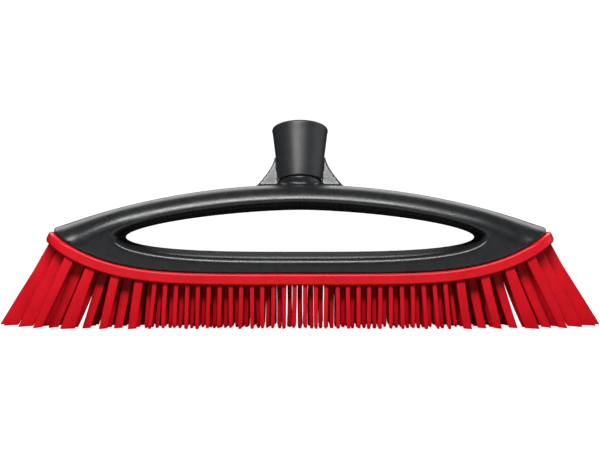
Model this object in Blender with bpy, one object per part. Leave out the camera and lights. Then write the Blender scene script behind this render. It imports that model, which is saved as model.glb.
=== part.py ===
"""Push broom head with an arched hand-hole body, a tilted handle socket and rubber bristles.

The head lies along X, its front faces -Y and its bristle tips stand on the plane Z = 0.
Everything below the body follows one arched line, the base line. A place in that sandwich
is given as (u, y, n): u is the base line's own X, y the depth and n the distance below the
line, measured square to it.
"""

import math
import random

import bmesh
import bpy
from mathutils import Matrix, Vector

MM = 0.001

# Clearance between neighbouring pieces, and how far a cutter runs past the faces it cuts.
GAP = 0.3 * MM
CUT_PAST = 2 * MM

# Points closer together than this become one.
WELD = 0.001 * MM

# Points round a turned shape and round a corner, and the angle below which faces shade smooth.
SOCKET_SIDES = 48
NECK_SIDES = 32
THREAD_SIDES = 20
SCREW_SIDES = 16
PILOT_SIDES = 12
CORNER_POINTS = 6
SMOOTH_ANGLE = math.radians(35)

# The head's middle plane, set so that the whole object's box is centred on Y = 0.
HEAD_MIDDLE = -3.18 * MM

# Base line: the joint between the body and everything hung under it.
BASE_HEIGHT = 33.4 * MM
BASE_RISE = 27 * MM
BASE_REACH = 150.8 * MM
BASE_POWER = 4.9
COARSE_STEP = 16 * MM
FINE_STEP = 8 * MM
FINE_FROM = 80 * MM

# Body: an arch over a lens-shaped hand hole.
BODY_HALF_LENGTH = 148.5 * MM
BODY_HALF_DEPTH = 21.8 * MM
BODY_CORNER = 14 * MM
BODY_SKIRT = 0.6 * MM
RIDGE_HEIGHT = 86.45 * MM
RIDGE_FALL = 26.1 * MM
RIDGE_POWER = 2.03
ROLL_RADIUS = 13.2 * MM
ROLL_GROWTH = 7.5 * MM
ROLL_STEADY = 108 * MM
ROLL_POWER = 1.3
HOLE_HALF_LENGTH = 106 * MM
HOLE_MIDDLE = 55 * MM
HOLE_RISE = 16.15 * MM
HOLE_DROP = 9 * MM
HOLE_DRAFT = 3.4 * MM
HOLE_FILLET = 4 * MM
HOLE_POINTS = 56
HOLE_TOP_POWER = 1.6
HOLE_TOP_FULLNESS = 0.61
HOLE_BOTTOM_POWER = 3.2
HOLE_BOTTOM_FULLNESS = 0.5
PILOT_RADIUS = 1.9 * MM
PILOT_DEPTH = 8 * MM

# Handle socket: a cone on a short neck, tilted back.
SOCKET_TILT = math.radians(18)
SOCKET_FOOT = Vector((0, 0, 80 * MM))
SEAM_AT = 8.9 * MM
MOUTH_AT = 43.2 * MM
SEAM_RADIUS = 13 * MM
MOUTH_RADIUS = 17.2 * MM
NECK_RADIUS = 12.7 * MM
NECK_SKIRT = 17.2 * MM
NECK_SWEEP = 1.6
NECK_SINK = 0.15 * MM
NECK_ROOT_HEIGHT = 77 * MM
NECK_ROOT_SCALE = 0.8
SPIGOT_RADIUS = 9 * MM
SPIGOT_LENGTH = 8 * MM
SOCKET_BORE = 11.9 * MM
BORE_FLOOR_AT = 14 * MM
SPIGOT_CHAMFER = 0.6 * MM
SEAM_CHAMFER = 0.4 * MM
MOUTH_ROUND = 1.3 * MM
BORE_CHAMFER = 0.8 * MM
WELL_FLOOR = 3 * MM
SCREW_WELL = 4.8 * MM
SCREW_HOLE = 2.4 * MM
SCREW_HOLE_FLOOR_AT = -6 * MM
WEB_TOP_AT = 25.2 * MM
WEB_FOOT_AT = 6 * MM
WEB_FOOT_WIDTH = 11.2 * MM
WEB_SWEEP = 1.6
WEB_TIP_WIDTH = 0.24 * MM
WEB_CLEARANCE = 0.42 * MM
WEB_SINK = 2 * MM
WEB_STEP = 1.5 * MM
WEB_ROOT_AT = 1 * MM
WEB_HALF_THICKNESS = 1.25 * MM
THREAD_PITCH = 5 * MM
THREAD_MINOR = 9.6 * MM
THREAD_MAJOR = 10.6 * MM
THREAD_ROOT = 1.2 * MM
THREAD_CREST = 0.5 * MM
THREAD_LEAD_IN = 2.5 * MM
THREAD_RUN_OUT = 3.5 * MM
BUSH_RECESS = 1.2 * MM
BUSH_CHAMFER = 0.7 * MM

# Bumper band: an angle-section rubber ring between body and base plate.
BAND_HALF_LENGTH = 149.8 * MM
BAND_HALF_DEPTH = 23 * MM
BAND_CORNER = 15 * MM
BAND_HEIGHT = 7.2 * MM
LIP = 1.3 * MM
FLANGE_WIDTH = 5.5 * MM
FLANGE_BOTTOM = 1.3 * MM
BAND_ROUND = 1 * MM

# Base plate: its lower slab spreads under the band and the outer rows.
PLATE_HALF_LENGTH = 148.4 * MM
PLATE_HALF_DEPTH = 18.7 * MM
PLATE_CORNER = 12.4 * MM
PLATE_STEP_LENGTH = 143.6 * MM
PLATE_STEP_DEPTH = 17.2 * MM
PLATE_LEDGE = 4.4 * MM
PLATE_BOTTOM = 7.4 * MM
PLATE_OVERLAP = 0.5 * MM
PLATE_SCREWS = [-130 * MM, -78 * MM, -26 * MM, 26 * MM, 78 * MM, 130 * MM]
SINK_RADIUS = 3.4 * MM
SINK_FLOOR = 5 * MM

# Pan-head screws: head radius, head height, shank radius and length.
SOCKET_SCREW = (4.2 * MM, 3 * MM, 2 * MM, 9 * MM)
BASE_SCREW = (3 * MM, 1.9 * MM, 1.5 * MM, 12 * MM)

# Shares of a screw's head: its side, its crown, and the cross recess in it; then of its shank.
HEAD_SIDE = 0.55
HEAD_CROWN = 0.72
RECESS_DEPTH = 0.53
RECESS_LENGTH = 0.53
RECESS_WIDTH = 0.15
RECESS_FLOOR = 0.7
POINT_RADIUS = 0.3
POINT_LENGTH = 2

# Bristle rows, front to back: narrow fingers in the middle, wide slats at both ends.
ROW_DEPTHS = [-20.1 * MM, -12.9 * MM, -5.5 * MM, 5.5 * MM, 12.9 * MM, 20.1 * MM]
RIB_HALF_WIDTH = 2.1 * MM
OUTER_RIB_HALF_WIDTH = 1.6 * MM
RIB_TOP = 1.6 * MM
RIB_BOTTOM = 4.1 * MM
RIB_OVERHANG = 0.1 * MM
FINGER_ROOT = 2.9 * MM
FINGER_PITCH = 6.35 * MM
FINGER_REACH = 90 * MM
FINGER_WIDTH = 2.8 * MM
FINGER_TIP = 2.5 * MM
FINGER_THICKNESS = 2.2 * MM
TIP_THICKNESS = 1.8 * MM
FINGER_STRAY = 0.65 * MM
SLAT_WIDTH = 5.3 * MM
SLAT_STRAY = 0.3 * MM

# Slats on each side, as (place, width at the tip); the widest ones fan out towards the floor.
SLATS = [
    [(94.6 * MM, 5.2 * MM), (108.2 * MM, 5.2 * MM), (122 * MM, 9 * MM), (134 * MM, 5.6 * MM)],
    [(101.9 * MM, 5.2 * MM), (115.5 * MM, 5.2 * MM), (128.4 * MM, 6 * MM), (139.2 * MM, 9.2 * MM)],
    [
        (94.6 * MM, 6.6 * MM),
        (108.2 * MM, 6.8 * MM),
        (121 * MM, 5.2 * MM),
        (132.4 * MM, 7 * MM),
        (144.9 * MM, 9 * MM),
    ],
    [(101.9 * MM, 6.6 * MM), (115.5 * MM, 6.6 * MM), (128.8 * MM, 6.6 * MM), (144.9 * MM, 9 * MM)],
    [(94.6 * MM, 6.8 * MM), (108.2 * MM, 7 * MM), (131.3 * MM, 7 * MM), (141.2 * MM, 9 * MM)],
    [(101.9 * MM, 7 * MM), (115.5 * MM, 7 * MM), (128.8 * MM, 7 * MM)],
]

# How much further out the tips of each row's last slats stand.
SPLAY = [0, 0, 0, 3.2 * MM, 0, 0]

# Bristles leave the base line square, but from FAN_FROM outwards they lean less than that.
FAN_FROM = 122 * MM
FAN_LEAN = math.radians(21.4)
FAN_LEAN_RATE = math.radians(0.27) / MM

BLACK_PLASTIC = (0.018, 0.019, 0.021, 1)
RED_RUBBER = (0.62, 0.017, 0.028, 1)
STEEL = (0.55, 0.56, 0.57, 1)


def clear_scene():
    for old in list(bpy.data.objects):
        bpy.data.objects.remove(old, do_unlink=True)


def collection(name):
    made = bpy.data.collections.new(name)
    bpy.context.scene.collection.children.link(made)
    return made


def material(name, colour, roughness, metallic=0.0):
    made = bpy.data.materials.new(name)
    made.use_nodes = True
    shader = made.node_tree.nodes["Principled BSDF"]
    shader.inputs["Base Color"].default_value = colour
    shader.inputs["Roughness"].default_value = roughness
    shader.inputs["Metallic"].default_value = metallic
    made.diffuse_color = colour
    return made


def add_object(name, shape, group, parent, colour, roughness=0.55, metallic=0.0):
    """A named object from a bmesh, shaded smooth wherever its faces meet at a shallow angle."""
    bmesh.ops.recalc_face_normals(shape, faces=shape.faces)
    mesh = bpy.data.meshes.new(name)
    shape.to_mesh(mesh)
    shape.free()
    mesh.shade_smooth()
    mesh.set_sharp_from_angle(angle=SMOOTH_ANGLE)
    mesh.materials.append(material(name, colour, roughness, metallic))
    made = bpy.data.objects.new(name, mesh)
    made.parent = parent
    group.objects.link(made)
    return made


def add_cutter(name, shape):
    made = add_object(name, shape, CUTTERS, ORIGIN, (1, 1, 1, 1))
    made.hide_render = True
    made.display_type = "WIRE"
    return made


def boolean(target, other, operation):
    """Joins the other object to the target, or cuts it away; the other becomes a hidden helper."""
    step = target.modifiers.new(other.name, "BOOLEAN")
    step.operation = operation
    step.object = other
    step.solver = "EXACT"


def loft(rings, around=False):
    """A skin over rings of equal point counts: capped at both ends, or closed back on itself."""
    shape = bmesh.new()
    rows = [[shape.verts.new(point) for point in ring] for ring in rings]
    last = len(rows) if around else len(rows) - 1
    for index in range(last):
        here = rows[index]
        there = rows[(index + 1) % len(rows)]
        for k, corner in enumerate(here):
            beside = (k + 1) % len(here)
            shape.faces.new((corner, here[beside], there[beside], there[k]))
    if not around:
        shape.faces.new(rows[0])
        shape.faces.new(rows[-1])
    return shape


def spread(low, high, count):
    return [low + (high - low) * k / (count - 1) for k in range(count)]


def base_height(u):
    return BASE_HEIGHT + BASE_RISE * (abs(u) / BASE_REACH) ** BASE_POWER


def base_lean(u):
    """The base line's slope angle at u, positive on the +X side."""
    slope = BASE_RISE * BASE_POWER / BASE_REACH * (abs(u) / BASE_REACH) ** (BASE_POWER - 1)
    return math.copysign(math.atan(slope), u)


def bend(u, y, n):
    lean = base_lean(u)
    return Vector((u + n * math.sin(lean), y, base_height(u) - n * math.cos(lean)))


def ridge_height(x):
    return RIDGE_HEIGHT - RIDGE_FALL * (abs(x) / BODY_HALF_LENGTH) ** RIDGE_POWER


def rounded_half_depth(x, half_length, half_depth, corner):
    """Half the depth of a rounded rectangle at x."""
    past = max(0.0, abs(x) - (half_length - corner))
    return half_depth - corner + math.sqrt(max(0.0, corner**2 - past**2))


def line_places(reach, between=False):
    """Shared places along the base line out to +-reach, closer together where it curves most.

    A cutter takes the places between them, so that its edges cross the blank's edges cleanly.
    """
    half = [COARSE_STEP * k for k in range(int(FINE_FROM / COARSE_STEP) + 1)]
    while half[-1] + 1.5 * FINE_STEP < reach:
        half.append(half[-1] + FINE_STEP)
    half = [u for u in half if u < reach - 0.5 * FINE_STEP] + [reach]
    if between:
        half = [(low + high) / 2 for low, high in zip(half, half[1:])] + [reach]
    return [-u for u in reversed(half) if u > 0] + half


def stations(half_length, corner):
    """X places along a rounded rectangle, closer together where its corners turn."""
    start = half_length - corner
    turn = [start + corner * math.sin(a) for a in spread(0, math.pi / 2, CORNER_POINTS)]
    return [-x for x in reversed(turn)] + line_places(start)[1:-1] + turn


def socket_point(along, radius, angle):
    """A point beside the socket's tilted axis; angle 0 is +X, and -90 degrees faces the front."""
    axis = Vector((0, math.sin(SOCKET_TILT), math.cos(SOCKET_TILT)))
    back = Vector((0, math.cos(SOCKET_TILT), -math.sin(SOCKET_TILT)))
    side = Vector((radius * math.cos(angle), 0, 0))
    return SOCKET_FOOT + axis * along + side + back * (radius * math.sin(angle))


def turned(profile, steps):
    """A solid turned about Z from (radius, height) points, with a flat cap at each end."""
    rings = []
    for radius, height in profile:
        angles = [2 * math.pi * k / steps for k in range(steps)]
        rings.append([Vector((radius * math.cos(a), radius * math.sin(a), height)) for a in angles])
    return loft(rings)


def place(shape, matrix):
    bmesh.ops.transform(shape, matrix=matrix, verts=shape.verts)
    return shape


def socket_frame():
    """Stands a shape turned about Z on the socket's axis, its zero at the socket's foot."""
    return Matrix.Translation(SOCKET_FOOT) @ Matrix.Rotation(-SOCKET_TILT, 4, "X")


def base_frame(u, y):
    """Puts a shape's zero on the base line at u, with its -Z pointing out of the underside."""
    return Matrix.Translation(bend(u, y, 0)) @ Matrix.Rotation(-base_lean(u), 4, "Y")


def roll_radius(x):
    """The rolled top's radius: steady along the arch, wider where it runs out at the ends."""
    past = max(0.0, abs(x) - ROLL_STEADY) / (BODY_HALF_LENGTH - ROLL_STEADY)
    return ROLL_RADIUS + ROLL_GROWTH * past**ROLL_POWER


def body_section(x):
    """One slice across the body: short skirts under a rolled top, cut off where the body is low."""
    depth = rounded_half_depth(x, BODY_HALF_LENGTH, BODY_HALF_DEPTH, BODY_CORNER)
    low = base_height(x)
    high = ridge_height(x)
    roll = min(roll_radius(x), depth)
    start = math.asin(max(0.0, 1 - (high - low - BODY_SKIRT) / roll))
    half = [Vector((x, -depth, low))]
    for angle in spread(start, math.pi / 2, 7):
        y = -depth + roll * (math.cos(start) - math.cos(angle))
        half.append(Vector((x, y, high - roll * (1 - math.sin(angle)))))
    other = [Vector((x, -point.y, point.z)) for point in reversed(half)]
    return half + other


def body_shell():
    places = stations(BODY_HALF_LENGTH, BODY_CORNER)
    return loft([body_section(x) for x in places])


def hole_ring(y, grow):
    """The hand hole's outline at depth y, grown all round: arched above, flatter below."""
    ring = []
    for k in range(HOLE_POINTS):
        turn = 2 * math.pi * k / HOLE_POINTS
        part = abs(math.cos(turn))
        if math.sin(turn) >= 0:
            z = HOLE_MIDDLE + (HOLE_RISE + grow) * (1 - part**HOLE_TOP_POWER) ** HOLE_TOP_FULLNESS
        else:
            z = HOLE_MIDDLE - (HOLE_DROP + grow) * (1 - part**HOLE_BOTTOM_POWER) ** HOLE_BOTTOM_FULLNESS
        ring.append(Vector(((HOLE_HALF_LENGTH + grow) * math.cos(turn), y, z)))
    return ring


def hand_hole():
    """The hole's cutter: narrowest at mid-depth, drafted both ways, with a fillet at each face."""
    start = BODY_HALF_DEPTH - HOLE_FILLET
    half = [(0.0, 0.0)]
    for angle in spread(0, math.pi / 2, 6):
        grow = HOLE_DRAFT + HOLE_FILLET * (1 - math.cos(angle))
        half.append((start + HOLE_FILLET * math.sin(angle), grow))
    half.append((BODY_HALF_DEPTH + CUT_PAST, HOLE_DRAFT + HOLE_FILLET))
    front = [hole_ring(-y, grow) for y, grow in reversed(half)]
    back = [hole_ring(y, grow) for y, grow in half[1:]]
    return loft(front + back)


def arch_surface(x, y):
    """Height of the arch's rolled top at a place in plan."""
    past = max(0.0, abs(y) - (BODY_HALF_DEPTH - ROLL_RADIUS))
    return ridge_height(x) - ROLL_RADIUS + math.sqrt(ROLL_RADIUS**2 - past**2)


def neck():
    """The socket's neck, flaring from the tilted seam into the arch's rolled top."""
    angles = [2 * math.pi * k / NECK_SIDES for k in range(NECK_SIDES)]
    top = [socket_point(SEAM_AT, NECK_RADIUS, angle) for angle in angles]
    skirt = []
    for angle in angles:
        x = NECK_SKIRT * math.cos(angle)
        y = NECK_SKIRT * math.sin(angle)
        skirt.append(Vector((x, y, arch_surface(x, y) - NECK_SINK)))
    rings = [top]
    for angle in spread(0, math.pi / 2, 7)[1:]:
        outward = (1 - math.cos(angle)) ** NECK_SWEEP
        downward = math.sin(angle)
        ring = []
        for high, low in zip(top, skirt):
            x = high.x + (low.x - high.x) * outward
            y = high.y + (low.y - high.y) * outward
            ring.append(Vector((x, y, high.z + (low.z - high.z) * downward)))
        rings.append(ring)
    root = [Vector((p.x * NECK_ROOT_SCALE, p.y * NECK_ROOT_SCALE, NECK_ROOT_HEIGHT)) for p in skirt]
    rings.append(root)
    return loft(rings)


def cone_radius(along):
    part = (along - SEAM_AT) / (MOUTH_AT - SEAM_AT)
    return SEAM_RADIUS + (MOUTH_RADIUS - SEAM_RADIUS) * part


def web(side):
    """One gusset beside the socket, as a flat outline in the socket's own tilted plane."""
    tip = cone_radius(WEB_TOP_AT) + GAP
    sunk = NECK_RADIUS - WEB_SINK
    outline = [(sunk, WEB_ROOT_AT), (tip + WEB_FOOT_WIDTH, WEB_ROOT_AT)]
    for along in spread(WEB_FOOT_AT, WEB_TOP_AT, 9):
        part = (WEB_TOP_AT - along) / (WEB_TOP_AT - WEB_FOOT_AT)
        outline.append((tip + WEB_TIP_WIDTH + WEB_FOOT_WIDTH * part**WEB_SWEEP, along))
    outline.append((tip, WEB_TOP_AT))
    outline.append((SEAM_RADIUS + WEB_CLEARANCE, SEAM_AT + WEB_CLEARANCE))
    outline.append((sunk, SEAM_AT - WEB_STEP))
    curve = bpy.data.curves.new("web_outline", "CURVE")
    curve.dimensions = "2D"
    curve.fill_mode = "BOTH"
    curve.extrude = WEB_HALF_THICKNESS
    line = curve.splines.new("POLY")
    line.points.add(len(outline) - 1)
    for point, (x, along) in zip(line.points, outline):
        point.co = (side * x, along, 0, 1)
    line.use_cyclic_u = True
    guide = bpy.data.objects.new("web_outline", curve)
    CUTTERS.objects.link(guide)
    bpy.context.view_layer.update()
    graph = bpy.context.evaluated_depsgraph_get()
    mesh = bpy.data.meshes.new_from_object(guide.evaluated_get(graph))
    shape = bmesh.new()
    shape.from_mesh(mesh)
    bmesh.ops.remove_doubles(shape, verts=shape.verts, dist=WELD)
    bpy.data.objects.remove(guide, do_unlink=True)
    bpy.data.curves.remove(curve)
    return place(shape, socket_frame() @ Matrix.Rotation(math.pi / 2, 4, "X"))


def body_screw_holes():
    shape = bmesh.new()
    for u in PLATE_SCREWS:
        pilot = turned([(PILOT_RADIUS, -CUT_PAST), (PILOT_RADIUS, PILOT_DEPTH)], PILOT_SIDES)
        place(pilot, base_frame(u, 0))
        join(shape, pilot)
    return shape


def join(shape, other):
    """Adds another bmesh's faces to this one."""
    mesh = bpy.data.meshes.new("joined")
    other.to_mesh(mesh)
    other.free()
    shape.from_mesh(mesh)
    bpy.data.meshes.remove(mesh)


def make_bridge_body():
    body = add_object("bridge_body", body_shell(), BROOM, ORIGIN, BLACK_PLASTIC, 0.5)
    boolean(body, add_cutter("neck_blank", neck()), "UNION")
    boolean(body, add_cutter("web_left", web(-1)), "UNION")
    boolean(body, add_cutter("web_right", web(1)), "UNION")
    boolean(body, add_cutter("hand_hole", hand_hole()), "DIFFERENCE")
    floor = SEAM_AT - SPIGOT_LENGTH - GAP
    seat = SEAM_AT + GAP / 2
    inner = SPIGOT_RADIUS + GAP
    outer = SEAM_RADIUS + GAP
    well = [(SCREW_HOLE, SCREW_HOLE_FLOOR_AT), (SCREW_HOLE, floor), (inner, floor)]
    well += [(inner, seat), (outer, seat), (outer, seat + CUT_PAST)]
    cutter = add_cutter("spigot_well", place(turned(well, NECK_SIDES), socket_frame()))
    boolean(body, cutter, "DIFFERENCE")
    boolean(body, add_cutter("pilot_holes", body_screw_holes()), "DIFFERENCE")


def make_handle_socket():
    """The cone with its spigot; bored from the mouth, with a screw well through its floor."""
    seat = SEAM_AT + GAP
    bottom = SEAM_AT - SPIGOT_LENGTH
    profile = [(SPIGOT_RADIUS - SPIGOT_CHAMFER, bottom), (SPIGOT_RADIUS, bottom + SPIGOT_CHAMFER)]
    profile += [(SPIGOT_RADIUS, seat), (SEAM_RADIUS - SEAM_CHAMFER, seat)]
    profile.append((SEAM_RADIUS, seat + SEAM_CHAMFER))
    for angle in spread(0, math.pi / 2, 5):
        radius = MOUTH_RADIUS - MOUTH_ROUND * (1 - math.cos(angle))
        profile.append((radius, MOUTH_AT - MOUTH_ROUND * (1 - math.sin(angle))))
    shape = place(turned(profile, SOCKET_SIDES), socket_frame())
    socket = add_object("handle_socket", shape, BROOM, ORIGIN, BLACK_PLASTIC, 0.5)
    floor = bottom + WELL_FLOOR
    brim = SOCKET_BORE + BORE_CHAMFER
    bore = [(SCREW_HOLE, bottom - CUT_PAST), (SCREW_HOLE, floor), (SCREW_WELL, floor)]
    bore += [(SCREW_WELL, BORE_FLOOR_AT), (SOCKET_BORE, BORE_FLOOR_AT)]
    bore += [(SOCKET_BORE, MOUTH_AT - BORE_CHAMFER), (brim, MOUTH_AT), (brim, MOUTH_AT + CUT_PAST)]
    cutter = add_cutter("socket_bore", place(turned(bore, SOCKET_SIDES), socket_frame()))
    boolean(socket, cutter, "DIFFERENCE")


def thread_ridge(low, high):
    """The female thread's ridge as a swept coil, rooted in the bush's wall."""
    turns = (high - low) / THREAD_PITCH
    profile = [(THREAD_MAJOR + GAP, -THREAD_ROOT), (THREAD_MINOR, -THREAD_CREST)]
    profile += [(THREAD_MINOR, THREAD_CREST), (THREAD_MAJOR + GAP, THREAD_ROOT)]
    rings = []
    for k in range(round(turns * THREAD_SIDES) + 1):
        angle = 2 * math.pi * k / THREAD_SIDES
        height = low + THREAD_PITCH * k / THREAD_SIDES
        ring = [(r * math.cos(angle), r * math.sin(angle), height + dz) for r, dz in profile]
        rings.append([Vector(point) for point in ring])
    return loft(rings)


def make_thread_insert():
    low = BORE_FLOOR_AT + GAP
    high = MOUTH_AT - BUSH_RECESS
    outer = SOCKET_BORE - GAP
    brim = THREAD_MAJOR + BUSH_CHAMFER
    blank = place(turned([(outer, low), (outer, high)], NECK_SIDES), socket_frame())
    insert = add_object("thread_insert", blank, BROOM, ORIGIN, BLACK_PLASTIC, 0.6)
    bore = [(THREAD_MAJOR, low - CUT_PAST), (THREAD_MAJOR, high - BUSH_CHAMFER), (brim, high)]
    bore.append((brim, high + CUT_PAST))
    cutter = add_cutter("insert_bore", place(turned(bore, NECK_SIDES), socket_frame()))
    boolean(insert, cutter, "DIFFERENCE")
    ridge = place(thread_ridge(low + THREAD_LEAD_IN, high - THREAD_RUN_OUT), socket_frame())
    boolean(insert, add_cutter("thread_ridge", ridge), "UNION")


def cross_recess(size):
    """A plus-shaped cutter that tapers into the top of the screw's head."""
    head_radius, face = size[0], size[1]
    depth = RECESS_DEPTH * face
    long, short = RECESS_LENGTH * head_radius, RECESS_WIDTH * head_radius
    outline = [(long, short), (short, short), (short, long), (-short, long), (-short, short)]
    outline += [(-long, short), (-long, -short), (-short, -short), (-short, -long)]
    outline += [(short, -long), (short, -short), (long, -short)]
    low = [Vector((x * RECESS_FLOOR, y * RECESS_FLOOR, face - depth)) for x, y in outline]
    high = [Vector((x, y, face + depth)) for x, y in outline]
    return loft([low, high])


def screw_blank(size):
    """A pan-head screw along Z: its head's underside at 0, its top up, its point down."""
    head_radius, head_height, shank_radius, length = size
    shoulder = POINT_LENGTH * shank_radius - length
    profile = [(POINT_RADIUS * shank_radius, -length), (shank_radius, shoulder)]
    profile += [(shank_radius, 0), (head_radius, 0), (head_radius, HEAD_SIDE * head_height)]
    profile.append((HEAD_CROWN * head_radius, head_height))
    return turned(profile, SCREW_SIDES)


def make_socket_screw():
    floor = SEAM_AT - SPIGOT_LENGTH + WELL_FLOOR + GAP
    frame = socket_frame() @ Matrix.Translation((0, 0, floor))
    blank = place(screw_blank(SOCKET_SCREW), frame)
    screw = add_object("socket_screw", blank, BROOM, ORIGIN, STEEL, 0.35, 1.0)
    recess = place(cross_recess(SOCKET_SCREW), frame)
    boolean(screw, add_cutter("socket_screw_recess", recess), "DIFFERENCE")


def plan_ring(inset, n):
    """One ring of the band: its plan outline moved in by inset, at n below the base line."""
    half_length = BAND_HALF_LENGTH - inset
    half_depth = BAND_HALF_DEPTH - inset
    places = stations(half_length, BAND_CORNER - inset)
    front = []
    for u in places:
        depth = rounded_half_depth(u, half_length, half_depth, BAND_CORNER - inset)
        front.append((u, -depth))
    back = [(-u, -y) for u, y in front]
    return [bend(u, y, n) for u, y in front + back]


def make_bumper_band():
    """The ring's angle section: a flange under the body and a skirt with softened outer corners."""
    edge = BAND_ROUND
    profile = [(FLANGE_WIDTH, GAP), (1.3 * edge, GAP), (0.35 * edge, GAP + 0.4 * edge)]
    profile += [(0, GAP + 1.3 * edge), (0, BAND_HEIGHT - edge), (0.4 * edge, BAND_HEIGHT - 0.15 * edge)]
    profile += [(LIP, BAND_HEIGHT - 0.2 * edge), (LIP, FLANGE_BOTTOM), (FLANGE_WIDTH, FLANGE_BOTTOM)]
    shape = loft([plan_ring(inset, n) for inset, n in profile], around=True)
    add_object("bumper_band", shape, BROOM, ORIGIN, RED_RUBBER, 0.4)


def bent_bar(places, section_at):
    """A bar along the base line; section_at gives its (y, n) outline at each place along u."""
    return loft([[bend(u, y, n) for y, n in section_at(u)] for u in places])


def rectangle(half_width, top, bottom, middle=0.0):
    low, high = middle - half_width, middle + half_width
    return [(low, top), (high, top), (high, bottom), (low, bottom)]


def plate_slab(half_length, half_depth, top, bottom):
    def section_at(u):
        return rectangle(rounded_half_depth(u, half_length, half_depth, PLATE_CORNER), top, bottom)

    return bent_bar(stations(half_length, PLATE_CORNER), section_at)


def comb_slot(row):
    """The stepped slot that a comb drops into: its rib rests in the wide upper part."""
    middle = ROW_DEPTHS[row]
    narrow = FINGER_THICKNESS / 2 + GAP
    wide = RIB_HALF_WIDTH + GAP
    floor = RIB_BOTTOM + 2 * GAP
    above = -CUT_PAST
    below = PLATE_BOTTOM + CUT_PAST
    half = [(wide, above), (wide, floor), (narrow, floor), (narrow, below)]
    section = [(middle + y, n) for y, n in half]
    section += [(middle - y, n) for y, n in reversed(half)]
    return bent_bar(line_places(row_reach(row) + GAP, between=True), lambda u: section)


def row_reach(row):
    """How far a row's rib goes to each side: to just past its last slat."""
    return max(SLATS[row])[0] + SLAT_WIDTH / 2 + RIB_OVERHANG


def make_base_plate():
    lower = plate_slab(PLATE_HALF_LENGTH, PLATE_HALF_DEPTH, PLATE_LEDGE, PLATE_BOTTOM)
    plate = add_object("base_plate", lower, BROOM, ORIGIN, BLACK_PLASTIC, 0.6)
    upper = plate_slab(PLATE_STEP_LENGTH, PLATE_STEP_DEPTH, GAP, PLATE_LEDGE + PLATE_OVERLAP)
    boolean(plate, add_cutter("plate_step", upper), "UNION")
    for row in range(1, len(ROW_DEPTHS) - 1):
        boolean(plate, add_cutter(f"comb_slot_{row + 1}", comb_slot(row)), "DIFFERENCE")
    holes = bmesh.new()
    for u in PLATE_SCREWS:
        profile = [(SINK_RADIUS, -PLATE_BOTTOM - CUT_PAST), (SINK_RADIUS, -SINK_FLOOR)]
        profile += [(PILOT_RADIUS, -SINK_FLOOR), (PILOT_RADIUS, CUT_PAST)]
        join(holes, place(turned(profile, SCREW_SIDES), base_frame(u, 0)))
    boolean(plate, add_cutter("plate_holes", holes), "DIFFERENCE")


def finger_lean(u):
    """How far a bristle leans outwards: square to the base line, less than that past FAN_FROM."""
    most = FAN_LEAN + FAN_LEAN_RATE * max(0.0, abs(u) - FAN_FROM)
    return math.copysign(min(abs(base_lean(u)), most), u)


def finger(u, y, width, tip_width, stray_x, stray_y):
    """One bristle from inside its rib to the floor, trimmed level."""
    corners = [(-0.5, -0.5), (0.5, -0.5), (0.5, 0.5), (-0.5, 0.5)]
    top = [bend(u + i * width, y + j * FINGER_THICKNESS, FINGER_ROOT) for i, j in corners]
    middle = bend(u, y, FINGER_ROOT)
    x = middle.x + middle.z * math.tan(finger_lean(u)) + stray_x
    tip = [Vector((x + i * tip_width, y + stray_y + j * TIP_THICKNESS, 0)) for i, j in corners]
    return loft([top, tip])


def rib(row):
    """A row's arched rib; an outer one is narrow and reaches inwards from its bristles only."""
    middle = ROW_DEPTHS[row]
    half = RIB_HALF_WIDTH
    if row in (0, len(ROW_DEPTHS) - 1):
        half = OUTER_RIB_HALF_WIDTH
        middle -= math.copysign(half - FINGER_THICKNESS / 2, middle)
    section = rectangle(half, RIB_TOP, RIB_BOTTOM, middle)
    return bent_bar(line_places(row_reach(row)), lambda u: section)


def narrow_places(row):
    """Where a row's narrow fingers stand: every second row is shifted by half a pitch."""
    shift = 0.5 if row % 2 == 0 else 0.0
    count = math.ceil(FINGER_REACH / FINGER_PITCH)
    places = [(k + shift) * FINGER_PITCH for k in range(-count, count + 1)]
    return [u for u in places if abs(u) < FINGER_REACH]


def make_bristle_row(row):
    """A comb: an arched rib with narrow fingers along the middle and wide slats at the ends."""
    y = ROW_DEPTHS[row]
    comb = add_object(f"bristle_row_{row + 1}", rib(row), BROOM, ORIGIN, RED_RUBBER, 0.45)
    chance = random.Random(row + 1)
    fingers = bmesh.new()
    for u in narrow_places(row):
        stray_x = chance.uniform(-FINGER_STRAY, FINGER_STRAY)
        stray_y = chance.uniform(-FINGER_STRAY, FINGER_STRAY)
        join(fingers, finger(u, y, FINGER_WIDTH, FINGER_TIP, stray_x, stray_y))
    for u, tip_width in SLATS[row]:
        splay = SPLAY[row] if u == max(SLATS[row])[0] else 0.0
        for side in (-1, 1):
            stray_y = chance.uniform(-SLAT_STRAY, SLAT_STRAY)
            join(fingers, finger(side * u, y, SLAT_WIDTH, tip_width, side * splay, stray_y))
    boolean(comb, add_cutter(f"fingers_{row + 1}", fingers), "UNION")


def make_base_screw(number, u):
    """A pan-head screw driven from below through the plate's spine into the body."""
    flip = Matrix.Rotation(math.pi, 4, "X")
    frame = base_frame(u, 0) @ Matrix.Translation((0, 0, -SINK_FLOOR - GAP)) @ flip
    blank = place(screw_blank(BASE_SCREW), frame)
    screw = add_object(f"base_screw_{number}", blank, BROOM, ORIGIN, STEEL, 0.35, 1.0)
    recess = place(cross_recess(BASE_SCREW), frame)
    boolean(screw, add_cutter(f"base_screw_recess_{number}", recess), "DIFFERENCE")


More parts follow.
